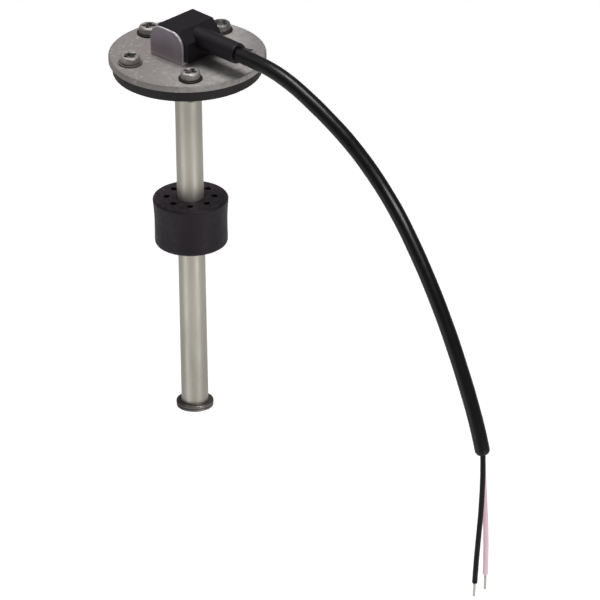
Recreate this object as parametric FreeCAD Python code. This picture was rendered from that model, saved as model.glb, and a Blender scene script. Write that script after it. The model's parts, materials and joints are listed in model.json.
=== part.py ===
import FreeCAD, Part
import math
import os
from FreeCAD import Vector as V

os.makedirs("parts", exist_ok=True)

# ---------------------------------------------------------------------------
# Fuel level sender: round screw-on flange with a rubber gasket, a straight
# stainless stem holding a strip of reed switches, a ring float that slides on
# the stem, and a moulded cable head in a folded bracket on top of the flange.
# Millimetres.  Origin: centre of the gasket's underside, on the stem's axis.
# +Z up along the stem, +X the way the cable leaves the head.
# ---------------------------------------------------------------------------

# flange and gasket
FLANGE_D = 70.0
FLANGE_T = 3.0
FLANGE_EDGE_R = 0.7
GASKET_D = 66.6
GASKET_ID = 38.0
GASKET_T = 5.3
BOLT_PCD = 54.0
BOLT_COUNT = 5
BOLT_PHASE = -40.8
FLANGE_HOLE_D = 5.5
GASKET_HOLE_D = 5.2

# screws and their sealing washers
SCREW_D = 5.0
SCREW_WAIST_D = 4.4
SCREW_LEN = 11.6
HEAD_D = 8.8
HEAD_H = 3.2
HEAD_EDGE_R = 1.2
RECESS_LEN = 6.2
RECESS_W = 2.1
RECESS_DEPTH = 2.2
WASHER_D = 10.8
WASHER_BORE_D = 5.0
WASHER_T = 0.8

# stem
TUBE_D = 12.0
TUBE_WALL = 0.8
TUBE_TOP = 10.5
TUBE_BOTTOM = -165.6
PLUG_H = 5.0
GROOVE_D = 11.4
CLIP_D = 16.4
CLIP_T = 1.0
CLIP_Z = -164.8
STOP_D = 16.6
STOP_T = 1.8

# float, at the height it is stored in
FLOAT_D = 32.4
FLOAT_RIM_D = 33.9
FLOAT_FLARE_H = 10.0
FLOAT_H = 22.4
FLOAT_BOTTOM = -84.4
FLOAT_TOP_R = 1.2
FLOAT_FOOT_R = 1.6
FLOAT_BORE_D = 12.8
DIMPLE_COUNT = 8
DIMPLE_PHASE = -45.0
DIMPLE_PITCH_R = 10.6
DIMPLE_D = 3.0
DIMPLE_DEPTH = 4.0
MAGNET_ID = 24.0
MAGNET_OD = 28.0
MAGNET_T = 5.0
MAGNET_SEAL_T = 1.5

# folded bracket and moulded head
SHEET_T = 1.3
BRK_Y = 11.4
BRK_X0 = -11.6
BRK_X1 = 8.6
BRK_TOP = 23.0
BRK_CORNER_R = 6.5
BEND_R = 0.6
BEND_OUT_R = 0.4
EDGE_R = 0.25
HEAD_X1 = 10.9
HEAD_TOP = 24.2
HEAD_SHOULDER = 18.9
HEAD_FLAT_X0 = -6.8
HEAD_FLAT_X1 = 6.1
SPOUT_Z = 18.6
SPOUT_X0 = 5.0
SPOUT_X1 = 33.0
SPOUT_R0 = 4.85
SPOUT_R1 = 4.68

# cable and leads: route points, run to run
CABLE_D = 6.8
LEAD_D = 2.4
TIP_D = 1.3
BLACK_TIP_LEN = 6.8
PINK_TIP_LEN = 7.6
CABLE_ROUTE = [
    (14.0, 0.0, 18.4), (37.0, 0.0, 18.5), (61.0, 0.0, 17.3), (88.1, 0.0, 6.7),
    (109.7, 0.0, -5.2), (130.2, 0.0, -22.9), (146.0, 0.0, -43.6),
    (159.8, 0.0, -66.1), (171.15, 0.0, -89.5), (180.95, 0.0, -114.0),
    (184.1, 0.0, -126.8),
]
BLACK_ROUTE = [
    (184.77, -0.88, -125.6), (185.19, -1.39, -133.6), (185.12, -1.94, -142.8),
    (184.8, -2.67, -153.5), (183.9, -3.53, -165.8), (182.78, -4.18, -178.3),
    (181.89, -4.38, -188.7),
]
PINK_ROUTE = [
    (182.97, 0.88, -126.0), (183.76, 1.17, -133.5), (183.85, 1.31, -142.9),
    (184.12, 1.19, -153.6), (183.85, 1.31, -165.6), (183.65, 0.96, -177.3),
    (183.14, 1.0, -185.9),
]

# circuit strip inside the stem
STRIP_W = 8.0
STRIP_T = 1.0
STRIP_Z0 = -159.0
STRIP_Z1 = 3.0
REED_COUNT = 7
REED_Z0 = -149.0
REED_PITCH = 21.0
REED_D = 1.8
REED_LEN = 10.0
REED_WIRE_D = 0.5
REED_BEND_R = 0.55

FLANGE_TOP = GASKET_T + FLANGE_T


def cyl(r, z0, z1, x=0.0, y=0.0):
    return Part.makeCylinder(r, z1 - z0, V(x, y, z0), V(0, 0, 1))


def ring(r_out, r_in, z0, z1, x=0.0, y=0.0):
    return cyl(r_out, z0, z1, x, y).cut(cyl(r_in, z0 - 1.0, z1 + 1.0, x, y))


def bolt_points():
    out = []
    for i in range(BOLT_COUNT):
        a = math.radians(BOLT_PHASE + i * 360.0 / BOLT_COUNT)
        out.append((BOLT_PCD / 2 * math.cos(a), BOLT_PCD / 2 * math.sin(a)))
    return out


def round_edges(shape, r, want):
    """Fillet the edges for which want(edge) is true."""
    edges = [e for e in shape.Edges if want(e)]
    return shape.makeFillet(r, edges)


def is_circle(e, r, z):
    c = e.Curve
    return (isinstance(c, Part.Circle) and abs(c.Radius - r) < 1e-6
            and abs(c.Center.z - z) < 1e-6)


def face_xz(points):
    return Part.Face(Part.makePolygon([V(x, 0, z) for x, z in points + points[:1]]))


def save(shape, name):
    shape = shape.removeSplitter() if shape.ShapeType == "Solid" else shape
    if not shape.isValid():
        print("INVALID", name)
    solids = shape.Solids
    shape.exportStep("parts/%s.step" % name)
    print("%-18s solids %2d  volume %10.2f" % (name, len(solids), shape.Volume))


def route_wire(points, label):
    """Straight runs joined by tangent arcs as large as the runs allow."""
    pts = [V(*p) for p in points]
    runs = [(pts[i + 1] - pts[i]).Length for i in range(len(pts) - 1)]
    edges = []
    radii = []
    start = pts[0]
    for i in range(1, len(pts) - 1):
        a = (pts[i - 1] - pts[i]).normalize()
        b = (pts[i + 1] - pts[i]).normalize()
        turn = math.pi - a.getAngle(b)
        t = 0.45 * min(runs[i - 1], runs[i])
        r = t / math.tan(turn / 2)
        mid = (a + b).normalize()
        p1 = pts[i] + a * t
        p2 = pts[i] + b * t
        pm = pts[i] + mid * (r / math.cos(turn / 2) - r)
        edges.append(Part.LineSegment(start, p1).toShape())
        edges.append(Part.Arc(p1, pm, p2).toShape())
        radii.append(round(r, 1))
        start = p2
    edges.append(Part.LineSegment(start, pts[-1]).toShape())
    length = sum(e.Length for e in edges)
    print("%s length %.1f runs %s radii %s"
          % (label, length, [round(x, 1) for x in runs], radii))
    return Part.Wire(edges), length


def cord(points, dia, label):
    """A round cord along a route."""
    wire, length = route_wire(points, label)
    p0, p1 = V(*points[0]), V(*points[1])
    prof = Part.Wire([Part.makeCircle(dia / 2, p0, (p1 - p0).normalize())])
    solid = wire.makePipeShell([prof], True, False)
    if solid.Volume < 0:
        solid.reverse()
    want = math.pi * dia * dia / 4 * length
    print("%s volume %.1f section x length %.1f valid %s"
          % (label, solid.Volume, want, solid.isValid()))
    return solid


# ---------------------------------------------------------------------------
# flange: one pressed disc with a rolled-over edge, and the weld fillet round the
# stem underneath
# ---------------------------------------------------------------------------
flange = cyl(FLANGE_D / 2, GASKET_T, FLANGE_TOP)
flange = round_edges(flange, FLANGE_EDGE_R, lambda e: is_circle(e, FLANGE_D / 2, FLANGE_TOP))
flange = round_edges(flange, 0.25, lambda e: is_circle(e, FLANGE_D / 2, GASKET_T))
weld = Part.makeCone(TUBE_D / 2, TUBE_D / 2 + 1.6, 1.6, V(0, 0, GASKET_T - 1.6), V(0, 0, 1))
flange = flange.fuse(weld).removeSplitter()
flange = flange.cut(cyl(TUBE_D / 2, -5, 25))
for x, y in bolt_points():
    flange = flange.cut(cyl(FLANGE_HOLE_D / 2, 0, 15, x, y))
save(flange, "mounting_flange")

# gasket: moulded nitrile ring with one hole a screw
gasket = ring(GASKET_D / 2, GASKET_ID / 2, 0, GASKET_T)
gasket = round_edges(gasket, 0.6, lambda e: is_circle(e, GASKET_D / 2, 0)
                     or is_circle(e, GASKET_D / 2, GASKET_T))
for x, y in bolt_points():
    gasket = gasket.cut(cyl(GASKET_HOLE_D / 2, -1, 10, x, y))
save(gasket, "flange_gasket")

# ---------------------------------------------------------------------------
# screws, each with a black rubber sealing washer under its head
# ---------------------------------------------------------------------------
z_head = FLANGE_TOP + WASHER_T


def pan_screw(x, y, turn):
    """Pan-head screw with a cross recess: a waisted shank through the washer,
    flange and gasket, and its threaded end below the gasket."""
    hr = HEAD_D / 2
    head = Part.makeCylinder(hr, HEAD_H, V(0, 0, 0), V(0, 0, 1))
    head = round_edges(head, HEAD_EDGE_R, lambda e: is_circle(e, hr, HEAD_H))
    head = round_edges(head, 0.25, lambda e: is_circle(e, hr, 0))
    for ang in (0, 90):
        wing = Part.makeBox(RECESS_LEN, RECESS_W, 3.5, V(-RECESS_LEN / 2, -RECESS_W / 2, HEAD_H - RECESS_DEPTH))
        wing = wing.makeChamfer(1.1, [e for e in wing.Edges
                                      if e.Length < RECESS_W + 0.1
                                      and e.CenterOfMass.z < HEAD_H - RECESS_DEPTH + 0.1])
        wing.rotate(V(0, 0, 0), V(0, 0, 1), ang)
        head = head.cut(wing)
    waist = Part.makeCylinder(SCREW_WAIST_D / 2, z_head, V(0, 0, -z_head), V(0, 0, 1))
    end = Part.makeCylinder(SCREW_D / 2, SCREW_LEN - z_head, V(0, 0, -SCREW_LEN), V(0, 0, 1))
    end = end.makeChamfer(0.6, [e for e in end.Edges if is_circle(e, SCREW_D / 2, -SCREW_LEN)])
    s = head.fuse([waist, end]).removeSplitter()
    s.rotate(V(0, 0, 0), V(0, 0, 1), turn)
    s.translate(V(x, y, z_head))
    return s


turns = [18, 63, 5, 40, 74]
screws = [pan_screw(x, y, t) for (x, y), t in zip(bolt_points(), turns)]
save(Part.makeCompound(screws), "flange_screws")


def washer(d_out, d_in, z0, t, r, x, y):
    w = ring(d_out / 2, d_in / 2, z0, z0 + t, x, y)
    return round_edges(w, r, lambda e: is_circle(e, d_out / 2, z0)
                       or is_circle(e, d_out / 2, z0 + t))


save(Part.makeCompound([washer(WASHER_D, WASHER_BORE_D, FLANGE_TOP, WASHER_T, 0.3, x, y)
                        for x, y in bolt_points()]), "sealing_washers")

# ---------------------------------------------------------------------------
# stem: drawn tube with a groove for the clip, closed by a plug
# ---------------------------------------------------------------------------
tube_in = TUBE_D / 2 - TUBE_WALL
tube = ring(TUBE_D / 2, tube_in, TUBE_BOTTOM, TUBE_TOP)
tube = tube.cut(ring(TUBE_D / 2 + 1, GROOVE_D / 2, CLIP_Z, CLIP_Z + CLIP_T))
save(tube, "sender_tube")

plug = cyl(tube_in, TUBE_BOTTOM, TUBE_BOTTOM + PLUG_H)
plug = plug.makeChamfer(0.4, [e for e in plug.Edges if is_circle(e, tube_in, TUBE_BOTTOM)])
save(plug, "tube_end_plug")

clip = ring(CLIP_D / 2, GROOVE_D / 2, CLIP_Z, CLIP_Z + CLIP_T)
clip = round_edges(clip, 0.2, lambda e: is_circle(e, CLIP_D / 2, CLIP_Z))
gap = Part.makeBox(20, 2.4, 4, V(0, -1.2, CLIP_Z - 1))
gap.rotate(V(0, 0, 0), V(0, 0, 1), 140)
clip = clip.cut(gap)
save(clip, "retaining_ring")

stop_z = CLIP_Z + CLIP_T
stop = ring(STOP_D / 2, TUBE_D / 2, stop_z, stop_z + STOP_T)
stop = round_edges(stop, 0.7, lambda e: is_circle(e, STOP_D / 2, stop_z)
                   or is_circle(e, STOP_D / 2, stop_z + STOP_T))
save(stop, "stop_washer")

# ---------------------------------------------------------------------------
# float: moulded ring that flares to its rim, mould-pin holes, magnet let in from
# below under a resin ring
# ---------------------------------------------------------------------------
f0, f1 = FLOAT_BOTTOM, FLOAT_BOTTOM + FLOAT_H
flare_out = (FLOAT_RIM_D - FLOAT_D) / 2
zf = f1 - FLOAT_FLARE_H
mid_out = 0.4 * flare_out
side = Part.Wire([
    Part.LineSegment(V(0, 0, f0), V(FLOAT_D / 2, 0, f0)).toShape(),
    Part.LineSegment(V(FLOAT_D / 2, 0, f0), V(FLOAT_D / 2, 0, zf)).toShape(),
    Part.Arc(V(FLOAT_D / 2, 0, zf), V(FLOAT_D / 2 + mid_out, 0, zf + FLOAT_FLARE_H / 2),
             V(FLOAT_RIM_D / 2, 0, f1)).toShape(),
    Part.LineSegment(V(FLOAT_RIM_D / 2, 0, f1), V(0, 0, f1)).toShape(),
    Part.LineSegment(V(0, 0, f1), V(0, 0, f0)).toShape()])
body = Part.Face(side).revolve(V(0, 0, 0), V(0, 0, 1), 360)
body = round_edges(body, FLOAT_TOP_R, lambda e: is_circle(e, FLOAT_RIM_D / 2, f1))
body = round_edges(body, FLOAT_FOOT_R, lambda e: is_circle(e, FLOAT_D / 2, f0))
body = body.cut(cyl(FLOAT_BORE_D / 2, f0 - 1, f1 + 1))
for i in range(DIMPLE_COUNT):
    a = math.radians(DIMPLE_PHASE + 360.0 / DIMPLE_COUNT * i)
    body = body.cut(cyl(DIMPLE_D / 2, f1 - DIMPLE_DEPTH, f1 + 1, DIMPLE_PITCH_R * math.cos(a), DIMPLE_PITCH_R * math.sin(a)))
mz1 = f0 + MAGNET_SEAL_T + MAGNET_T
body = body.cut(ring(MAGNET_OD / 2, MAGNET_ID / 2, f0 - 1, mz1))
save(body, "float_body")
save(ring(MAGNET_OD / 2, MAGNET_ID / 2, f0 + MAGNET_SEAL_T, mz1), "float_magnet")
save(ring(MAGNET_OD / 2, MAGNET_ID / 2, f0, f0 + MAGNET_SEAL_T), "magnet_seal")

# ---------------------------------------------------------------------------
# folded bracket on the flange, its folds filled square by the weld along them
# ---------------------------------------------------------------------------
base_top = FLANGE_TOP + SHEET_T
bx = BRK_X1 - BRK_X0
outer = Part.makeBox(bx, 2 * BRK_Y, BRK_TOP - FLANGE_TOP, V(BRK_X0, -BRK_Y, FLANGE_TOP))
outer = round_edges(outer, BEND_OUT_R,
                    lambda e: abs(e.Length - bx) < 1e-6 and abs(e.CenterOfMass.z - FLANGE_TOP) < 1e-6)
iy = BRK_Y - SHEET_T
inner = Part.makeBox(bx + 2, 2 * iy, 40, V(BRK_X0 - 1, -iy, base_top))
inner = round_edges(inner, BEND_R,
                    lambda e: abs(e.Length - bx - 2) < 1e-6 and abs(e.CenterOfMass.z - base_top) < 1e-6)
bracket = outer.cut(inner)
side = Part.makeBox(bx, 4 * BRK_Y, BRK_TOP - FLANGE_TOP, V(BRK_X0, -2 * BRK_Y, FLANGE_TOP))
side = round_edges(side, BRK_CORNER_R,
                   lambda e: abs(e.Length - 4 * BRK_Y) < 1e-6 and abs(e.CenterOfMass.z - BRK_TOP) < 1e-6)
bracket = bracket.common(side)
outline = [e for e in bracket.Edges
           if not (abs(e.Length - bx) < 1e-6 and e.CenterOfMass.z < FLANGE_TOP + 5)]
crosswise = [e for e in outline if abs(e.CenterOfMass.x - BRK_X0) < 1e-6
             or abs(e.CenterOfMass.x - BRK_X1) < 1e-6
             or e.CenterOfMass.z > BRK_TOP - BRK_CORNER_R]
lengthwise = [e for e in crosswise if abs(e.Length - SHEET_T) > 1e-6]
bracket = bracket.makeFillet(EDGE_R, lengthwise)
bracket = bracket.cut(cyl(TUBE_D / 2 + 0.3, 0, 14))
save(bracket, "head_bracket")

# ---------------------------------------------------------------------------
# cable, then the moulded head round it
# ---------------------------------------------------------------------------
sheath = cord(CABLE_ROUTE, CABLE_D, "cable_sheath")
save(sheath, "cable_sheath")

block = face_xz([(BRK_X0, base_top), (HEAD_X1, base_top), (HEAD_X1, HEAD_SHOULDER),
                 (HEAD_FLAT_X1, HEAD_TOP), (HEAD_FLAT_X0, HEAD_TOP), (BRK_X0, HEAD_SHOULDER)])
block = block.extrude(V(0, 2 * iy, 0))
block.translate(V(0, -iy, 0))
block = round_edges(block, 0.8, lambda e: abs(e.Length - 2 * iy) < 1e-6 and e.CenterOfMass.z > base_top + 1)
block = block.makeChamfer(0.8, [e for e in block.Edges
                                if abs(e.CenterOfMass.z - base_top) < 1e-6
                                and abs(abs(e.CenterOfMass.y) - iy) < 1e-6
                                and e.Length > bx - 1e-6])
spout = Part.makeCone(SPOUT_R0, SPOUT_R1, SPOUT_X1 - SPOUT_X0, V(SPOUT_X0, 0, SPOUT_Z), V(1, 0, 0))
spout = round_edges(spout, 0.5, lambda e: isinstance(e.Curve, Part.Circle)
                    and abs(e.Curve.Center.x - SPOUT_X1) < 1e-6)
head = block.fuse(spout).removeSplitter()
head = head.cut(Part.makeBox(17.0, 13.6, 11.2, V(-9.0, -6.8, base_top - 0.0)))
c0, c1 = V(*CABLE_ROUTE[0]), V(*CABLE_ROUTE[1])
cd = (c1 - c0).normalize()
head = head.cut(Part.makeCylinder(CABLE_D / 2, 9.0, c0 - cd * 9.0, cd))
head = head.cut(sheath)
save(head, "head_moulding")

# ---------------------------------------------------------------------------
# leads with tinned ends
# ---------------------------------------------------------------------------


def tip(route, length):
    a, b = V(*route[-2]), V(*route[-1])
    d = (b - a).normalize()
    c = Part.makeCylinder(TIP_D / 2, length, b, d)
    end = b + d * length
    c = c.makeFillet(0.35, [e for e in c.Edges if isinstance(e.Curve, Part.Circle)
                            and (e.Curve.Center - end).Length < 1e-6])
    mid = b + d * (length / 2)
    print("tip at", [round(v, 3) for v in (b.x, b.y, b.z)], "mid",
          [round(v, 4) for v in (mid.x, mid.y, mid.z)], "axis",
          [round(v, 6) for v in (d.x, d.y, d.z)], "end", [round(v, 3) for v in (end.x, end.y, end.z)])
    return c


save(cord(BLACK_ROUTE, LEAD_D, "black_lead"), "black_lead")
save(cord(PINK_ROUTE, LEAD_D, "pink_lead"), "pink_lead")
save(tip(BLACK_ROUTE, BLACK_TIP_LEN), "black_lead_tip")
save(tip(PINK_ROUTE, PINK_TIP_LEN), "pink_lead_tip")

# ---------------------------------------------------------------------------
# inside: the cores from the cable down to the strip, resin seal, strip, reeds
# ---------------------------------------------------------------------------
CORE_Y = 1.9
CORE_BEND = 6.0
CORE_END_Z = -2.0


def core(sign):
    p0 = c0 + V(0, sign * 1.3, 0)
    zc = p0.z
    y1 = sign * CORE_Y
    p1 = V(8.0, y1, zc)
    a1 = V(CORE_BEND, y1, zc)
    a2 = V(0, y1, zc - CORE_BEND)
    am = V(CORE_BEND * (1 - math.sqrt(0.5)), y1, zc - CORE_BEND * (1 - math.sqrt(0.5)))
    straight = Part.makeCylinder(LEAD_D / 2, (p0 - V(a1.x, p0.y, zc)).Length,
                                 V(p0.x, y1, zc), V(-1, 0, 0))
    wire = Part.Wire([Part.Arc(a1, am, a2).toShape()])
    prof = Part.Wire([Part.makeCircle(LEAD_D / 2, a1, V(-1, 0, 0))])
    bend = wire.makePipeShell([prof], True, False)
    drop = Part.makeCylinder(LEAD_D / 2, a2.z - CORE_END_Z, V(0, y1, CORE_END_Z), V(0, 0, 1))
    return straight.fuse([bend, drop]).removeSplitter()


cores = {"black_core_tail": core(-1), "pink_core_tail": core(1)}
for name, s in cores.items():
    save(s, name)

seal = cyl(tube_in, 4.8, 10.1)
for s in cores.values():
    seal = seal.cut(s)
save(seal, "tube_seal")

strip = Part.makeBox(STRIP_W, STRIP_T, STRIP_Z1 - STRIP_Z0, V(-STRIP_W / 2, -STRIP_T / 2, STRIP_Z0))
save(strip, "circuit_strip")

reeds, reed_wires, chips = [], [], []
ry = STRIP_T / 2 + REED_D / 2 + 0.1
for i in range(REED_COUNT):
    z = REED_Z0 + i * REED_PITCH
    c = cyl(REED_D / 2, z - REED_LEN / 2, z + REED_LEN / 2, 0, ry)
    c = round_edges(c, 0.6, lambda e: is_circle(e, REED_D / 2, z - REED_LEN / 2)
                    or is_circle(e, REED_D / 2, z + REED_LEN / 2))
    reeds.append(c)
    for s in (-1, 1):
        ze = z + s * REED_LEN / 2
        b, k = REED_BEND_R, REED_BEND_R * (1 - math.sqrt(0.5))
        zb = ze + s * 1.2
        bent = Part.Wire([
            Part.LineSegment(V(0, ry, ze), V(0, ry, zb)).toShape(),
            Part.Arc(V(0, ry, zb), V(0, ry - k, zb + s * (b - k)), V(0, ry - b, zb + s * b)).toShape(),
            Part.LineSegment(V(0, ry - b, zb + s * b), V(0, STRIP_T / 2, zb + s * b)).toShape()])
        prof = Part.Wire([Part.makeCircle(REED_WIRE_D / 2, V(0, ry, ze), V(0, 0, s))])
        wire = bent.makePipeShell([prof], True, False)
        if wire.Volume < 0:
            wire.reverse()
        reed_wires.append(wire)
    chips.append(Part.makeBox(1.6, 0.55, 3.2, V(-0.8, -STRIP_T / 2 - 0.55, z - 1.6)))
save(Part.makeCompound(reeds), "reed_switches")
save(Part.makeCompound(reed_wires), "reed_leads")
save(Part.makeCompound(chips), "chip_resistors")

joints = []
for s in (-1, 1):
    y0 = STRIP_T / 2 if s > 0 else -STRIP_T / 2
    joints.append(Part.makeCylinder(0.9, 1.9, V(0, y0, CORE_END_Z - 0.9), V(0, s, 0)))
save(Part.makeCompound(joints), "solder_joints")

print("float top", f1, "stop top", stop_z + STOP_T)
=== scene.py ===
import bpy
import bmesh
import json
import math
from mathutils import Vector, Matrix


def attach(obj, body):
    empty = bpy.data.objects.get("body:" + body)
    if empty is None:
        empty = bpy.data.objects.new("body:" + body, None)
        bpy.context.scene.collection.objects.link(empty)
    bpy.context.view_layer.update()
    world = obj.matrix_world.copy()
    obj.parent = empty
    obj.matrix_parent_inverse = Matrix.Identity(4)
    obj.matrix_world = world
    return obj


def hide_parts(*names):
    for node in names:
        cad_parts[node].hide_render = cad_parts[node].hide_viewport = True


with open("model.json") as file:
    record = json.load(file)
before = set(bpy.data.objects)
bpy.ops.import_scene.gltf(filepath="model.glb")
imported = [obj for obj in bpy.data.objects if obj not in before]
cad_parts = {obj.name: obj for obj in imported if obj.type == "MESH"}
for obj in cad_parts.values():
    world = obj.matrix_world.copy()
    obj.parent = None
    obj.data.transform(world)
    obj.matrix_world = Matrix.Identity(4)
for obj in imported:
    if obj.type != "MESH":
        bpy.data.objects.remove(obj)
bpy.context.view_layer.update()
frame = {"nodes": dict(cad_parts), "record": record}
NODES = frame["nodes"]
MM = 0.001
STEM = "stem_assembly"
FLOAT = "float"

# ---------------------------------------------------------------------------
# camera: a long lens, slightly above the flange, a little turned about its axis
# ---------------------------------------------------------------------------
AZ, EL, TURN = math.radians(46.5), math.radians(26.0), 0.0199
FRAME_W, DIST = 0.2651, 10.0
right = Vector((math.cos(AZ), math.sin(AZ), 0.0))
up = Vector((-math.sin(EL) * math.sin(AZ), math.sin(EL) * math.cos(AZ), math.cos(EL)))
back = Vector((math.cos(EL) * math.sin(AZ), -math.cos(EL) * math.cos(AZ), math.sin(EL)))
target = Vector((0, 0, 0.0075)) + right * 0.0476 - up * 0.1095
cx, cy = (right - up * TURN).normalized(), (up + right * TURN).normalized()
cam_data = bpy.data.cameras.new("camera")
cam = bpy.data.objects.new("camera", cam_data)
bpy.context.scene.collection.objects.link(cam)
cam_data.sensor_width = 36.0
cam_data.lens = 36.0 * DIST / FRAME_W
cam_data.clip_start, cam_data.clip_end = 0.1, 60.0
eye = target + back * DIST
cam.matrix_world = Matrix(((cx.x, cy.x, back.x, eye.x), (cx.y, cy.y, back.y, eye.y),
                           (cx.z, cy.z, back.z, eye.z), (0, 0, 0, 1)))
bpy.context.scene.camera = cam


# ---------------------------------------------------------------------------
# mesh helpers
# ---------------------------------------------------------------------------
def add_mesh(name, verts, faces, smooth=True, sharp_deg=35):
    me = bpy.data.meshes.new(name)
    me.from_pydata([tuple(v) for v in verts], [], faces)
    bm = bmesh.new()
    bm.from_mesh(me)
    bmesh.ops.recalc_face_normals(bm, faces=bm.faces)
    bm.to_mesh(me)
    bm.free()
    me.polygons.foreach_set("use_smooth", [smooth] * len(me.polygons))
    if smooth:
        me.set_sharp_from_angle(angle=math.radians(sharp_deg))
    me.update()
    ob = bpy.data.objects.new(name, me)
    bpy.context.scene.collection.objects.link(ob)
    return ob


def nurbs_line(points_mm, res):
    """The smooth line through a route: a NURBS curve with the route's points as control points."""
    cu = bpy.data.curves.new("line", "CURVE")
    cu.dimensions = "3D"
    cu.resolution_u = res
    sp = cu.splines.new("NURBS")
    sp.points.add(len(points_mm) - 1)
    for p, co in zip(sp.points, points_mm):
        p.co = (co[0] * MM, co[1] * MM, co[2] * MM, 1.0)
    sp.order_u = 3
    sp.use_endpoint_u = True
    ob = bpy.data.objects.new("line", cu)
    me = bpy.data.meshes.new_from_object(ob)
    pts = [v.co.copy() for v in me.vertices]
    bpy.data.meshes.remove(me)
    bpy.data.objects.remove(ob)
    bpy.data.curves.remove(cu)
    return pts


class Line:
    """A polyline with arc length, and frames carried along it without twist."""

    def __init__(self, pts):
        self.p = [pts[0]]
        for q in pts[1:]:
            if (q - self.p[-1]).length > 1e-7:
                self.p.append(q)
        self.s = [0.0]
        for a, b in zip(self.p, self.p[1:]):
            self.s.append(self.s[-1] + (b - a).length)
        self.length = self.s[-1]
        n = len(self.p)
        self.t = [((self.p[min(i + 1, n - 1)] - self.p[max(i - 1, 0)])).normalized() for i in range(n)]
        side = Vector((0, 1, 0))
        self.n = []
        for t in self.t:
            side = (side - t * side.dot(t)).normalized()
            self.n.append(side.copy())

    def at(self, s):
        s = min(max(s, 0.0), self.length)
        lo, hi = 0, len(self.s) - 1
        while hi - lo > 1:
            mid = (lo + hi) // 2
            if self.s[mid] <= s:
                lo = mid
            else:
                hi = mid
        f = (s - self.s[lo]) / max(self.s[hi] - self.s[lo], 1e-12)
        p = self.p[lo].lerp(self.p[hi], f)
        t = self.t[lo].lerp(self.t[hi], f).normalized()
        n = self.n[lo].lerp(self.n[hi], f)
        n = (n - t * n.dot(t)).normalized()
        return p, t, n, t.cross(n)


def loft(name, rings, close_start=True, close_end=True, sharp_deg=35):
    """Joins equal rings of points into one skin, with a disc at each closed end."""
    k = len(rings[0])
    verts = [v for r in rings for v in r]
    faces = []
    for i in range(len(rings) - 1):
        a, b = i * k, (i + 1) * k
        for j in range(k):
            faces.append((a + j, a + (j + 1) % k, b + (j + 1) % k, b + j))
    for closed, base in ((close_start, 0), (close_end, (len(rings) - 1) * k)):
        if closed:
            c = sum((verts[base + j] for j in range(k)), Vector()) / k
            verts.append(c)
            m = len(verts) - 1
            for j in range(k):
                faces.append((base + j, base + (j + 1) % k, m))
    return add_mesh(name, verts, faces, sharp_deg=sharp_deg)


def ring_on(line, s, radius, sides, shift=0.0):
    """A ring of points round a line at length s. radius is a number or a function of the angle."""
    p, t, n, b = line.at(s)
    p = p + t * shift
    out = []
    for j in range(sides):
        a = 2 * math.pi * j / sides
        r = radius(a) if callable(radius) else radius
        out.append(p + (n * math.cos(a) + b * math.sin(a)) * r)
    return out


# ---------------------------------------------------------------------------
# cable and leads
# ---------------------------------------------------------------------------
CABLE_R, LEAD_R = 3.4 * MM, 1.2 * MM
CABLE_ROUTE = [
    (14.0, 0.0, 18.4), (37.0, 0.0, 18.5), (61.0, 0.0, 17.3), (88.1, 0.0, 6.7),
    (109.7, 0.0, -5.2), (130.2, 0.0, -22.9), (146.0, 0.0, -43.6),
    (159.8, 0.0, -66.1), (171.15, 0.0, -89.5), (180.95, 0.0, -114.0),
    (184.1, 0.0, -126.8),
]
BLACK_ROUTE = [
    (184.77, -0.88, -125.6), (185.19, -1.39, -133.6), (185.12, -1.94, -142.8),
    (184.8, -2.67, -153.5), (183.9, -3.53, -165.8), (182.78, -4.18, -178.3),
    (181.89, -4.38, -188.7),
]
PINK_ROUTE = [
    (182.97, 0.88, -126.0), (183.24, 0.63, -133.5), (183.37, 0.80, -142.9),
    (183.78, 0.83, -153.6), (183.75, 1.20, -165.6), (183.65, 0.96, -177.3),
    (183.14, 1.0, -185.9),
]


def make_cable():
    line = Line(nurbs_line(CABLE_ROUTE, 24))
    rings = []
    end_r, lay = 2.5 * MM, 42 * MM
    steps = int((line.length - end_r) / (0.9 * MM))
    stations = [(line.length - end_r) * i / steps for i in range(steps + 1)]
    stations += [line.length - end_r * (1 - math.sin(math.pi / 2 * i / 10)) for i in range(1, 11)]
    for s in stations:
        d = max(0.0, s - (line.length - end_r))
        r0 = CABLE_R - end_r + math.sqrt(max(end_r * end_r - d * d, 0.0))

        def radius(a, r0=r0, s=s):
            # the two laid cores show faintly through the jacket
            return r0 * (0.994 + 0.006 * math.cos(2 * (a - 2 * math.pi * s / lay)))

        rings.append(ring_on(line, s, radius, 40))
    for r0, shift in ((0.7 * MM, 0.0), (0.6 * MM, -0.2 * MM)):
        rings.append(ring_on(line, line.length, r0, 40, shift))
    ob = loft("cable_jacket", rings, sharp_deg=50)
    return ob, line


def make_lead(name, route):
    line = Line(nurbs_line(route, 12))
    rings = []
    steps = int(line.length / (0.8 * MM))
    edge = 0.18 * MM
    stations = [(line.length - edge) * i / steps for i in range(steps + 1)]
    for s in stations:
        rings.append(ring_on(line, s, LEAD_R, 24))
    for i in range(1, 5):
        a = math.pi / 2 * i / 4
        rings.append(ring_on(line, line.length - edge * (1 - math.sin(a)), LEAD_R - edge * (1 - math.cos(a)), 24))
    for r0, shift in ((0.7 * MM, 0.0), (0.66 * MM, -0.5 * MM)):
        rings.append(ring_on(line, line.length, r0, 24, shift))
    return loft(name, rings, sharp_deg=50), line


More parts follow.
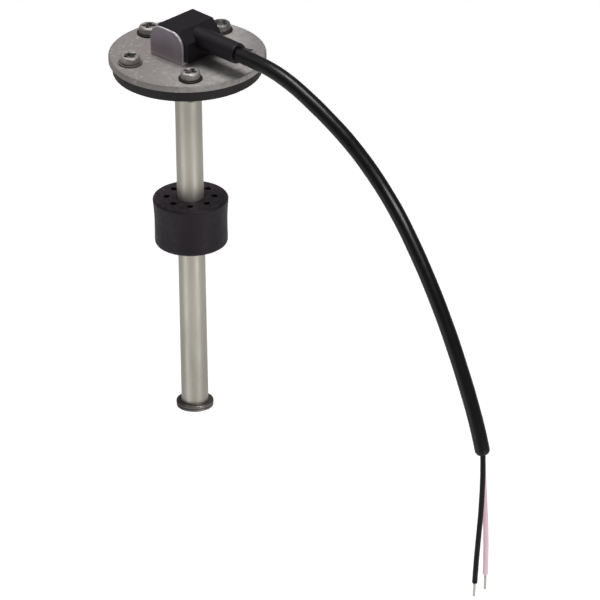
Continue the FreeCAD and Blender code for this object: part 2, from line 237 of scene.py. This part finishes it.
def make_strands(name, line, length):
    """Seven twisted wires, tinned together towards their cut end."""
    p, t, n, b = line.at(line.length)
    wire, orbit, pitch, sides = 0.215 * MM, 0.425 * MM, 9 * MM, 10
    verts, faces = [], []
    for k in range(7):
        start = len(verts)
        steps = 44
        lead_in = 0.9 * MM
        total = length + lead_in - (0.05 * MM * (k % 3))
        for i in range(steps + 1):
            s = total * i / steps - lead_in
            ang = 2 * math.pi * (k / 6.0 + s / pitch)
            rad = 0.0 if k == 6 else orbit * (1 - 0.10 * max(0.0, s / length) ** 2)
            c = p + t * s + (n * math.cos(ang) + b * math.sin(ang)) * rad
            tip = min(1.0, (total - (s + lead_in)) / (0.2 * MM))
            w = wire * (0.55 + 0.45 * math.sqrt(max(0.0, min(1.0, tip))))
            for j in range(sides):
                a = 2 * math.pi * j / sides
                verts.append(c + (n * math.cos(a) + b * math.sin(a)) * w)
        for i in range(steps):
            for j in range(sides):
                q = start + i * sides
                faces.append((q + j, q + (j + 1) % sides, q + sides + (j + 1) % sides, q + sides + j))
        for base in (start, start + steps * sides):
            faces.append(tuple(base + j for j in range(sides)))
    return add_mesh(name, verts, faces, sharp_deg=60)


cable, cable_line = make_cable()
black_lead, black_line = make_lead("black_core_insulation", BLACK_ROUTE)
pink_lead, pink_line = make_lead("pink_core_insulation", PINK_ROUTE)
black_tip = make_strands("black_core_strands", black_line, 6.8 * MM)
pink_tip = make_strands("pink_core_strands", pink_line, 7.6 * MM)

for piece, node, slot in ((cable, "cable_sheath", "cable_black"), (black_lead, "black_lead", "lead_black"),
                          (pink_lead, "pink_lead", "lead_pink"), (black_tip, "black_lead_tip", "tinned_wire"),
                          (pink_tip, "pink_lead_tip", "tinned_wire")):
    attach(piece, STEM)
    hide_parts(node)


# ---------------------------------------------------------------------------
# screws: the heads and shanks as they are, with a cut thread on each free end
# ---------------------------------------------------------------------------
THREAD_R, THREAD_PITCH, THREAD_DEPTH = 2.5 * MM, 0.8 * MM, 0.49 * MM
THREAD_TOP, THREAD_END = 0.7 * MM, -2.5 * MM
HEAD_TOP = 12.3 * MM


def thread_radius(turn, z):
    f = (z / THREAD_PITCH + turn) % 1.0
    if f < 0.14:
        d = 0.0
    elif f < 0.44:
        d = (f - 0.14) / 0.30
    elif f < 0.70:
        d = 1.0
    else:
        d = 1.0 - (f - 0.70) / 0.30
    r = THREAD_R - THREAD_DEPTH * d
    lead = (z - THREAD_END) + THREAD_R - 0.75 * MM
    return min(r, lead)


def make_screws():
    bm = bmesh.new()
    bm.from_mesh(NODES["flange_screws"].data)
    bmesh.ops.remove_doubles(bm, verts=bm.verts, dist=1e-7)
    low = [f for f in bm.faces if all(v.co.z < 1e-5 for v in f.verts)]
    centres = {}
    for f in low:
        c = f.calc_center_median()
        key = round(math.atan2(c.y, c.x) / (2 * math.pi / 5) + 0.57) % 5
        centres.setdefault(key, []).extend(v.co.xy for v in f.verts)
    axes = []
    for pts in centres.values():
        xs, ys = [p.x for p in pts], [p.y for p in pts]
        axes.append(((min(xs) + max(xs)) / 2, (min(ys) + max(ys)) / 2))
    bmesh.ops.delete(bm, geom=low, context="FACES")
    rim = [e for e in bm.edges if e.is_boundary]
    bmesh.ops.holes_fill(bm, edges=rim, sides=0)
    cols, rows = 64, 116
    for x, y in axes:
        grid = []
        for i in range(rows + 1):
            z = THREAD_TOP + (THREAD_END - THREAD_TOP) * i / rows
            grid.append([bm.verts.new((x + thread_radius(j / cols, z) * math.cos(2 * math.pi * j / cols),
                                       y + thread_radius(j / cols, z) * math.sin(2 * math.pi * j / cols), z))
                         for j in range(cols)])
        for i in range(rows):
            for j in range(cols):
                k = (j + 1) % cols
                bm.faces.new((grid[i][j], grid[i + 1][j], grid[i + 1][k], grid[i][k]))
        for ring, z in ((grid[0], THREAD_TOP), (grid[-1], THREAD_END)):
            c = bm.verts.new((x, y, z))
            for j in range(cols):
                bm.faces.new((ring[j], ring[(j + 1) % cols], c))
    bmesh.ops.recalc_face_normals(bm, faces=bm.faces)
    me = bpy.data.meshes.new("threaded_screws")
    bm.to_mesh(me)
    bm.free()
    me.polygons.foreach_set("use_smooth", [True] * len(me.polygons))
    me.set_sharp_from_angle(angle=math.radians(32))
    # depth in each cross recess, which carries painted shade
    mask = me.attributes.new("recess", "FLOAT", "POINT")
    for v, d in zip(me.vertices, mask.data):
        r = min(math.hypot(v.co.x - x, v.co.y - y) for x, y in axes)
        d.value = min(1.0, max(0.0, (HEAD_TOP - v.co.z) / (1.6 * MM))) if r < 3.5 * MM and v.co.z > 9.9 * MM else 0.0
    ob = bpy.data.objects.new("threaded_screws", me)
    bpy.context.scene.collection.objects.link(ob)
    return ob, len(axes)


screws, screw_count = make_screws()
if screw_count != 5:
    raise SystemExit("expected five screws, found %d" % screw_count)
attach(screws, STEM)
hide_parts("flange_screws")


def aim(az_deg, el_deg):
    """A direction seen from the object: az 0 is the camera's side, positive to its right."""
    a, e = math.radians(az_deg), math.radians(el_deg)
    front = Vector((math.sin(AZ), -math.cos(AZ), 0))
    return (front * math.cos(a) + right * math.sin(a)) * math.cos(e) + Vector((0, 0, math.sin(e)))


# ---------------------------------------------------------------------------
# material helpers
# ---------------------------------------------------------------------------
class Mat:
    def __init__(self, name, color, rough, metallic=0.0, spec=0.5):
        self.m = bpy.data.materials.new(name)
        self.m.use_nodes = True
        self.nt = self.m.node_tree
        self.nt.nodes.clear()
        out = self.nt.nodes.new("ShaderNodeOutputMaterial")
        self.b = self.nt.nodes.new("ShaderNodeBsdfPrincipled")
        self.nt.links.new(self.b.outputs[0], out.inputs[0])
        self.set("Base Color", (*color, 1.0))
        self.set("Roughness", rough)
        self.set("Metallic", metallic)
        self.set("Specular IOR Level", spec)
        self.tc = self.nt.nodes.new("ShaderNodeTexCoord")
        self.normal = None

    def set(self, name, value):
        self.b.inputs[name].default_value = value

    def link(self, a, b):
        self.nt.links.new(a, b)

    def vec(self, scale=(1, 1, 1), rot=(0, 0, 0)):
        mp = self.nt.nodes.new("ShaderNodeMapping")
        mp.inputs["Scale"].default_value = scale
        mp.inputs["Rotation"].default_value = rot
        self.link(self.tc.outputs["Object"], mp.inputs["Vector"])
        return mp.outputs["Vector"]

    def axes(self, output="Object"):
        n = self.nt.nodes.new("ShaderNodeSeparateXYZ")
        self.link(self.tc.outputs[output], n.inputs[0])
        return n.outputs

    def along(self, direction):
        """Distance along a direction, in metres from the origin."""
        n = self.nt.nodes.new("ShaderNodeVectorMath")
        n.operation = "DOT_PRODUCT"
        self.link(self.tc.outputs["Object"], n.inputs[0])
        n.inputs[1].default_value = tuple(direction)
        return n.outputs["Value"]

    def radius(self):
        """Distance from the stem's axis, in metres."""
        n = self.nt.nodes.new("ShaderNodeVectorMath")
        n.operation = "LENGTH"
        self.link(self.vec((1, 1, 0)), n.inputs[0])
        return n.outputs["Value"]

    def near(self, point):
        """Distance from a point, in metres."""
        n = self.nt.nodes.new("ShaderNodeVectorMath")
        n.operation = "DISTANCE"
        self.link(self.tc.outputs["Object"], n.inputs[0])
        n.inputs[1].default_value = point
        return n.outputs["Value"]

    def attribute(self, name):
        n = self.nt.nodes.new("ShaderNodeAttribute")
        n.attribute_name = name
        return n.outputs["Fac"]

    def noise(self, scale, detail=4.0, rough=0.55, vec=None, distortion=0.0):
        n = self.nt.nodes.new("ShaderNodeTexNoise")
        n.inputs["Scale"].default_value = scale
        n.inputs["Detail"].default_value = detail
        n.inputs["Roughness"].default_value = rough
        n.inputs["Distortion"].default_value = distortion
        self.link(vec if vec is not None else self.tc.outputs["Object"], n.inputs["Vector"])
        return n.outputs["Fac"]

    def voronoi(self, scale, vec=None, feature="F1"):
        n = self.nt.nodes.new("ShaderNodeTexVoronoi")
        n.feature = feature
        n.inputs["Scale"].default_value = scale
        self.link(vec if vec is not None else self.tc.outputs["Object"], n.inputs["Vector"])
        return n.outputs["Distance"]

    def remap(self, fac, a, b, c, d, smooth=False):
        n = self.nt.nodes.new("ShaderNodeMapRange")
        n.interpolation_type = "SMOOTHSTEP" if smooth else "LINEAR"
        for k, v in (("From Min", a), ("From Max", b), ("To Min", c), ("To Max", d)):
            n.inputs[k].default_value = v
        self.link(fac, n.inputs["Value"])
        return n.outputs["Result"]

    def ramp(self, fac, stops):
        n = self.nt.nodes.new("ShaderNodeValToRGB")
        e = n.color_ramp.elements
        while len(e) < len(stops):
            e.new(0.5)
        for el, (pos, col) in zip(e, stops):
            el.position = pos
            el.color = (*col, 1.0)
        self.link(fac, n.inputs["Fac"])
        return n.outputs["Color"]

    def mix(self, fac, a, b, mode="MIX"):
        n = self.nt.nodes.new("ShaderNodeMix")
        n.data_type = "RGBA"
        n.blend_type = mode
        for value, sock in ((fac, n.inputs[0]), (a, n.inputs[6]), (b, n.inputs[7])):
            if isinstance(value, bpy.types.NodeSocket):
                self.link(value, sock)
            elif isinstance(value, tuple):
                sock.default_value = (*value, 1.0)
            else:
                sock.default_value = value
        return n.outputs[2]

    def math(self, op, a, b=None):
        n = self.nt.nodes.new("ShaderNodeMath")
        n.operation = op
        for value, sock in ((a, n.inputs[0]), (b, n.inputs[1])):
            if isinstance(value, bpy.types.NodeSocket):
                self.link(value, sock)
            elif value is not None:
                sock.default_value = value
        return n.outputs[0]

    def bump(self, height, strength, distance):
        n = self.nt.nodes.new("ShaderNodeBump")
        n.inputs["Strength"].default_value = strength
        n.inputs["Distance"].default_value = distance
        self.link(height, n.inputs["Height"])
        if self.normal is not None:
            self.link(self.normal, n.inputs["Normal"])
        self.normal = n.outputs["Normal"]
        self.link(self.normal, self.b.inputs["Normal"])

    def color(self, sock):
        self.link(sock, self.b.inputs["Base Color"])

    def rough(self, sock):
        self.link(sock, self.b.inputs["Roughness"])


def mat_flange():
    m = Mat("flange_steel", (0.35, 0.335, 0.325), 0.62, 0.3, 0.35)
    patch = m.noise(95, 3, 0.5)
    tint = m.noise(60, 2, 0.5, m.vec((1, 1, 1), (0.4, 0.2, 0.9)))
    fine = m.noise(700, 5, 0.6)
    c = m.ramp(patch, [(0.30, (0.385, 0.374, 0.366)), (0.52, (0.465, 0.448, 0.437)), (0.75, (0.530, 0.506, 0.494))])
    c = m.mix(m.remap(tint, 0.42, 0.66, 0.0, 0.75), c, (0.492, 0.448, 0.448))
    c = m.mix(m.remap(m.along(-right), -0.004, 0.020, 0.0, 0.88, True), c, (0.248, 0.215, 0.209))
    c = m.mix(m.remap(m.noise(380, 3, 0.6), 0.44, 0.62, 0.0, 0.7), c, (0.268, 0.252, 0.248))
    c = m.mix(m.remap(m.noise(520, 3, 0.6, m.vec((1, 1, 1), (0.7, 0.1, 0.3))), 0.56, 0.70, 0.0, 0.8), c, (0.580, 0.550, 0.540))
    # painted shade where the flange meets the head, under the spout; darker on the outermost edge
    x, y, z = m.axes()
    corner_painted_shade = m.math("MULTIPLY", m.remap(x, 0.0150, 0.0270, 0.62, 0.0, True),
                    m.remap(m.math("ABSOLUTE", y), 0.0075, 0.0105, 1.0, 0.0, True))
    c = m.mix(m.math("MULTIPLY", corner_painted_shade, m.remap(x, 0.0085, 0.0105, 0.0, 1.0)), c, (0.105, 0.094, 0.100))
    # darker at the right, behind the cable
    behind = m.remap(m.along(aim(180, 0)), -0.009, -0.002, 0.0, 1.0, True)
    c = m.mix(m.math("MULTIPLY", behind, m.remap(m.along(right), 0.018, 0.034, 0.0, 0.8, True)), c, (0.190, 0.180, 0.178))
    edge = m.math("MULTIPLY", m.remap(m.radius(), 0.0338, 0.0346, 0.0, 0.5, True), m.remap(z, 0.0074, 0.0081, 0.0, 1.0))
    c = m.mix(edge, c, (0.150, 0.140, 0.138))
    c = m.mix(m.remap(fine, 0.3, 0.7, 0.0, 0.5), c, (0.315, 0.302, 0.295))
    m.color(c)
    m.rough(m.remap(m.noise(420, 4, 0.6), 0.25, 0.75, 0.56, 0.72))
    m.bump(m.noise(1500, 4, 0.6), 0.22, 0.00012)
    m.bump(m.noise(260, 3, 0.5), 0.10, 0.0005)
    return m.m


def mat_bracket():
    m = Mat("bracket_steel", (0.24, 0.22, 0.24), 0.44, 0.4)
    streak = m.noise(500, 4, 0.6, m.vec((0.25, 1.0, 2.2)))
    patch = m.noise(140, 3, 0.5, m.vec((1, 1, 1), (0.3, 0.1, 0.5)))
    c = m.ramp(patch, [(0.3, (0.240, 0.204, 0.240)), (0.7, (0.315, 0.270, 0.317))])
    c = m.mix(m.remap(streak, 0.35, 0.75, 0.0, 0.4), c, (0.318, 0.278, 0.318))
    # painted reflection of the flange: the wall lighter towards its foot; painted highlight on the sheet's edge faces
    c = m.mix(m.remap(m.axes()[2], 0.0085, 0.0135, 0.55, 0.0, True), c, (0.400, 0.352, 0.345))
    c = m.mix(m.remap(m.axes()[2], 0.0088, 0.0108, 0.6, 0.0, True), c, (0.560, 0.500, 0.490))
    # painted highlight on the faces not turned along Y, the sheet's edges
    sheet_edge_painted_highlight = m.remap(m.math("ABSOLUTE", m.axes("Normal")[1]), 0.25, 0.8, 1.0, 0.0, True)
    c = m.mix(m.math("MULTIPLY", sheet_edge_painted_highlight, m.remap(patch, 0.3, 0.7, 0.75, 1.0)), c, (0.86, 0.81, 0.83))
    m.color(c)
    m.rough(m.remap(m.noise(380, 4, 0.6), 0.25, 0.75, 0.36, 0.50))
    m.bump(streak, 0.10, 0.0002)
    return m.m


def mat_stem():
    m = Mat("stem_steel", (0.52, 0.50, 0.455), 0.42, 0.6)
    drawn = m.noise(1600, 5, 0.6, m.vec((1, 1, 0.02)))
    bands = m.noise(260, 3, 0.5, m.vec((1, 1, 0.05), (0, 0, 0.7)))
    patch = m.noise(120, 4, 0.6, m.vec((1, 1, 0.45)))
    tint = m.noise(75, 3, 0.5, m.vec((1, 1, 0.35), (0, 0, 2.1)))
    c = m.ramp(patch, [(0.30, (0.490, 0.472, 0.405)), (0.5, (0.590, 0.566, 0.488)), (0.70, (0.660, 0.630, 0.550))])
    c = m.mix(m.remap(tint, 0.40, 0.62, 0.0, 0.55), c, (0.560, 0.515, 0.455))
    c = m.mix(m.remap(bands, 0.38, 0.62, 0.5, 0.0, True), c, (0.420, 0.408, 0.350))
    # painted light: the tube painted lighter above and below the float, fading away from it
    float_zone_painted_light = m.math("ABSOLUTE", m.math("ADD", m.axes()[2], 0.078))
    c = m.mix(m.remap(float_zone_painted_light, 0.032, 0.062, 0.5, 0.0, True), c, (0.780, 0.742, 0.652))
    # painted shade down the tube's two sides, 52° to the right and 60° to the left of the front
    right_side_painted_shade = m.along(aim(52, 0))
    c = m.mix(m.remap(right_side_painted_shade, 0.0050, 0.0059, 0.0, 0.35, True), c, (0.360, 0.350, 0.330))
    c = m.mix(m.remap(m.along(aim(-60, 0)), 0.0050, 0.0060, 0.0, 0.6, True), c, (0.380, 0.366, 0.335))
    c = m.mix(m.remap(drawn, 0.35, 0.7, 0.0, 0.3), c, (0.440, 0.424, 0.384))
    m.color(c)
    m.rough(m.remap(m.noise(300, 4, 0.6, m.vec((1, 1, 0.4))), 0.25, 0.75, 0.38, 0.54))
    m.bump(drawn, 0.16, 0.00008)
    m.bump(m.noise(330, 3, 0.5, m.vec((1, 1, 0.5))), 0.08, 0.0004)
    return m.m


def mat_screw():
    m = Mat("screw_steel", (0.34, 0.33, 0.32), 0.48, 0.55)
    patch = m.noise(420, 4, 0.6)
    c = m.ramp(patch, [(0.3, (0.270, 0.254, 0.246)), (0.65, (0.400, 0.380, 0.365))])
    # painted shade in the cross recess, darkest at its bottom
    c = m.mix(m.remap(m.attribute("recess"), 0.02, 0.35, 0.0, 0.94, True), c, (0.018, 0.016, 0.015))
    # painted shade round the recess of each of the five
    for k in range(5):
        a = math.radians(-40.8 + 72.0 * k)
        c = m.mix(m.remap(m.near((0.027 * math.cos(a), 0.027 * math.sin(a), 0.0126)), 0.0014, 0.0034, 0.65, 0.0, True), c, (0.052, 0.045, 0.043))
    # painted dark reflection of the head on the top of the screw behind it
    c = m.mix(m.remap(m.near((-0.0062, 0.0263, 0.0130)), 0.0034, 0.0060, 0.80, 0.0, True), c, (0.060, 0.060, 0.055))
    m.color(c)
    m.rough(m.remap(m.noise(900, 4, 0.6), 0.25, 0.75, 0.42, 0.60))
    m.bump(m.noise(2200, 4, 0.6), 0.12, 0.0001)
    return m.m


def mat_clip():
    m = Mat("clip_steel", (0.22, 0.21, 0.20), 0.42, 1.0)
    c = m.ramp(m.noise(500, 4, 0.6), [(0.3, (0.155, 0.145, 0.140)), (0.7, (0.25, 0.236, 0.226))])
    # painted shade: darker at the left
    m.color(m.mix(m.remap(m.along(-right), -0.001, 0.007, 0.0, 0.85, True), c, (0.060, 0.056, 0.055)))
    m.rough(m.remap(m.noise(900, 3, 0.5), 0.25, 0.75, 0.3, 0.48))
    m.bump(m.noise(2000, 3, 0.5), 0.1, 0.0001)
    return m.m


def mat_rubber(name, dark, light, spec=0.35, r0=0.48, r1=0.66, grain=1700, depth=0.00012, strength=0.25, paler_at=None):
    m = Mat(name, dark, 0.6, 0.0, spec)
    c = m.ramp(m.noise(160, 4, 0.6), [(0.3, dark), (0.72, light)])
    # paler round one given point
    if paler_at:
        c = m.mix(m.remap(m.near(paler_at), 0.0057, 0.0065, 0.85, 0.0, True), c, (0.135, 0.122, 0.117))
    m.color(c)
    m.rough(m.remap(m.noise(600, 4, 0.6), 0.25, 0.75, r0, r1))
    m.bump(m.noise(grain, 4, 0.65), strength, depth)
    return m.m


def mat_float():
    m = Mat("float_nitrile", (0.011, 0.009, 0.012), 0.55, 0.0, 0.32)
    c = m.ramp(m.noise(120, 4, 0.6), [(0.3, (0.0105, 0.0050, 0.0112)), (0.72, (0.0155, 0.0082, 0.0162))])
    # the upper face painted lighter: partly a painted sheen, partly pale grime in patches
    dust_and_sheen = m.math("MULTIPLY", m.remap(m.axes("Normal")[2], 0.6, 0.95, 0.0, 0.9, True), m.remap(m.noise(420, 4, 0.65), 0.38, 0.62, 0.25, 1.0))
    m.color(m.mix(dust_and_sheen, c, (0.105, 0.083, 0.105)))
    m.rough(m.remap(m.noise(420, 4, 0.6), 0.25, 0.75, 0.44, 0.62))
    pores = m.voronoi(1500)
    m.bump(m.remap(pores, 0.0, 0.35, 0.0, 1.0, True), 0.18, 0.00012)
    m.bump(m.noise(300, 4, 0.6), 0.12, 0.0003)
    return m.m


def mat_head():
    m = Mat("head_plastic", (0.007, 0.006, 0.0075), 0.45, 0.0, 0.27)
    m.color(m.ramp(m.noise(150, 4, 0.6), [(0.3, (0.0060, 0.0034, 0.0064)), (0.72, (0.0100, 0.0062, 0.0106))]))
    m.rough(m.remap(m.noise(500, 4, 0.6), 0.25, 0.75, 0.40, 0.56))
    m.bump(m.noise(2200, 3, 0.6), 0.22, 0.0001)
    return m.m


def mat_cable():
    m = Mat("cable_black", (0.0045, 0.0045, 0.0048), 0.30, 0.0, 0.275)
    m.color(m.ramp(m.noise(90, 4, 0.6), [(0.3, (0.0034, 0.0034, 0.0036)), (0.72, (0.006, 0.0058, 0.006))]))
    m.rough(m.remap(m.noise(260, 4, 0.6), 0.25, 0.75, 0.25, 0.36))
    m.bump(m.noise(900, 3, 0.6), 0.10, 0.0001)
    return m.m


def mat_lead(name, dark, light, r0, r1, spec=0.5, painted_glow=0.0):
    m = Mat(name, dark, 0.4, 0.0, spec)
    # painted light: the insulation glows faintly, though it is no lamp
    m.set("Emission Color", (*light, 1.0))
    m.set("Emission Strength", painted_glow)
    m.color(m.ramp(m.noise(220, 4, 0.6), [(0.3, dark), (0.72, light)]))
    m.rough(m.remap(m.noise(700, 3, 0.6), 0.25, 0.75, r0, r1))
    m.bump(m.noise(1800, 3, 0.5), 0.08, 0.00008)
    return m.m


def mat_tinned():
    m = Mat("tinned_wire", (0.74, 0.73, 0.71), 0.3, 1.0)
    m.color(m.ramp(m.noise(900, 4, 0.6), [(0.3, (0.62, 0.61, 0.59)), (0.7, (0.80, 0.79, 0.77))]))
    m.rough(m.remap(m.noise(1500, 3, 0.6), 0.25, 0.75, 0.22, 0.42))
    m.bump(m.noise(4000, 3, 0.5), 0.1, 0.00004)
    return m.m


def mat_board():
    m = Mat("board", (0.03, 0.16, 0.07), 0.4, 0.0, 0.5)
    weave = m.noise(1200, 3, 0.5)
    m.color(m.ramp(weave, [(0.3, (0.022, 0.13, 0.055)), (0.7, (0.04, 0.19, 0.085))]))
    m.rough(m.remap(m.noise(700, 3, 0.5), 0.25, 0.75, 0.32, 0.5))
    m.bump(weave, 0.08, 0.00005)
    return m.m


def mat_glass():
    m = Mat("reed_glass", (0.62, 0.80, 0.70), 0.08, 0.0, 0.5)
    m.set("Transmission Weight", 0.85)
    m.set("IOR", 1.5)
    m.color(m.ramp(m.noise(300, 3, 0.5), [(0.3, (0.56, 0.76, 0.66)), (0.7, (0.70, 0.86, 0.78))]))
    m.rough(m.remap(m.noise(600, 3, 0.5), 0.25, 0.75, 0.05, 0.12))
    return m.m


def mat_ceramic(name, dark, light):
    m = Mat(name, dark, 0.55, 0.0, 0.4)
    m.color(m.ramp(m.noise(500, 4, 0.6), [(0.3, dark), (0.7, light)]))
    m.rough(m.remap(m.noise(900, 3, 0.6), 0.25, 0.75, 0.45, 0.65))
    m.bump(m.noise(2500, 3, 0.6), 0.15, 0.0001)
    return m.m


M = {
    "flange_steel": mat_flange(),
    "bracket_steel": mat_bracket(),
    "stem_steel": mat_stem(),
    "screw_steel": mat_screw(),
    "clip_steel": mat_clip(),
    "gasket_rubber": mat_rubber("gasket_rubber", (0.0095, 0.0068, 0.0076), (0.0155, 0.0118, 0.0128), paler_at=(-0.0105, -0.0249, 0.0087)),
    "float_nitrile": mat_float(),
    "magnet": mat_ceramic("magnet", (0.05, 0.05, 0.052), (0.09, 0.09, 0.09)),
    "resin": mat_rubber("resin", (0.010, 0.010, 0.010), (0.017, 0.016, 0.016), 0.5, 0.25, 0.42, 500, 0.0002, 0.15),
    "head_plastic": mat_head(),
    "cable_black": mat_cable(),
    "lead_black": mat_lead("lead_black", (0.0045, 0.0036, 0.0038), (0.007, 0.0058, 0.006), 0.34, 0.5, 0.22),
    "lead_pink": mat_lead("lead_pink", (0.85, 0.56, 0.66), (0.91, 0.63, 0.73), 0.36, 0.52, 0.5, 0.25),
    "tinned_wire": mat_tinned(),
    "board": mat_board(),
    "reed_glass": mat_glass(),
    "chip_ceramic": mat_ceramic("chip_ceramic", (0.02, 0.02, 0.02), (0.04, 0.04, 0.04)),
}


def paint(ob, slot):
    ob.data.materials.clear()
    ob.data.materials.append(M[slot])


for sp in frame["record"]["subparts"]:
    paint(NODES[sp["node"]], sp["material_slot"])
for ob, slot in ((cable, "cable_black"), (black_lead, "lead_black"), (pink_lead, "lead_pink"),
                 (black_tip, "tinned_wire"), (pink_tip, "tinned_wire"), (screws, "screw_steel")):
    paint(ob, slot)


# ---------------------------------------------------------------------------
# floor, light
# ---------------------------------------------------------------------------
def make_floor():
    n, half, z = 24, 14.0, -0.62
    verts = [(half * math.cos(2 * math.pi * i / n), half * math.sin(2 * math.pi * i / n), z) for i in range(n)]
    ob = add_mesh("floor", verts, [tuple(range(n))], smooth=False)
    m = Mat("floor_white", (0.9, 0.9, 0.9), 0.9, 0.0, 0.1)
    m.color(m.ramp(m.noise(3, 2, 0.5), [(0.3, (0.895, 0.895, 0.895)), (0.7, (0.905, 0.905, 0.905))]))
    m.set("Emission Color", (1, 1, 1, 1))
    m.set("Emission Strength", 0.70)
    ob.data.materials.append(m.m)
    ob.visible_glossy = False
    ob.visible_diffuse = False
    ob.visible_transmission = False
    ob.visible_shadow = False
    return ob


make_floor()


def softbox(name, az, el, dist, w, h, radiance, tint=(1, 1, 1)):
    li = bpy.data.lights.new(name, "AREA")
    li.shape = "RECTANGLE"
    li.size, li.size_y = w, h
    li.energy = radiance * math.pi * w * h
    li.color = tint
    ob = bpy.data.objects.new(name, li)
    bpy.context.scene.collection.objects.link(ob)
    d = aim(az, el)
    centre = Vector((0.06, 0, -0.06))
    ob.location = centre + d * dist
    ob.rotation_mode = "QUATERNION"
    ob.rotation_quaternion = (-d).to_track_quat("-Z", "Y")
    ob.visible_camera = False
    return ob


softbox("softbox_top", -158.7, 71.4, 1.3, 0.5, 0.5, 14.8).visible_glossy = False
softbox("softbox_sheen", -136.5, 80, 1.3, 0.5, 0.5, 14.4).visible_diffuse = False
softbox("softbox_right", 36, 47.5, 1.3, 0.62, 0.25, 22.5).visible_diffuse = False
softbox("softbox_left", -100, 45, 1.3, 0.5, 0.5, 0.9)
softbox("fill_left", -62, -24, 1.3, 0.7, 0.9, 0.82)
softbox("fill_right", 45, -24, 1.3, 0.7, 0.9, 1.15)

world = bpy.data.worlds.new("studio")
bpy.context.scene.world = world
world.use_nodes = True
wt = world.node_tree
wt.nodes.clear()
w_out = wt.nodes.new("ShaderNodeOutputWorld")
w_bg = wt.nodes.new("ShaderNodeBackground")
w_tc = wt.nodes.new("ShaderNodeTexCoord")
w_sep = wt.nodes.new("ShaderNodeSeparateXYZ")
w_ramp = wt.nodes.new("ShaderNodeValToRGB")
w_map = wt.nodes.new("ShaderNodeMapRange")
wt.links.new(w_tc.outputs["Generated"], w_sep.inputs[0])
wt.links.new(w_sep.outputs["Z"], w_map.inputs["Value"])
w_map.inputs["From Min"].default_value = -1.0
w_map.inputs["From Max"].default_value = 1.0
# white table below, darker room round it, pale ceiling
LEVELS = [(0.0, 0.72), (0.375, 0.64), (0.475, 0.36), (0.55, 0.26), (0.72, 0.18), (0.9, 0.16), (1.0, 0.18)]
e = w_ramp.color_ramp.elements
while len(e) < len(LEVELS):
    e.new(0.5)
for el, (pos, level) in zip(e, LEVELS):
    el.position = pos
    el.color = (level, level, level * 0.985, 1)
wt.links.new(w_map.outputs["Result"], w_ramp.inputs["Fac"])
wt.links.new(w_ramp.outputs["Color"], w_bg.inputs["Color"])
w_bg.inputs["Strength"].default_value = 1.0
wt.links.new(w_bg.outputs[0], w_out.inputs[0])

vs = bpy.context.scene.view_settings
vs.view_transform = "Standard"
vs.look = "None"
vs.exposure = 0.0
vs.gamma = 1.0
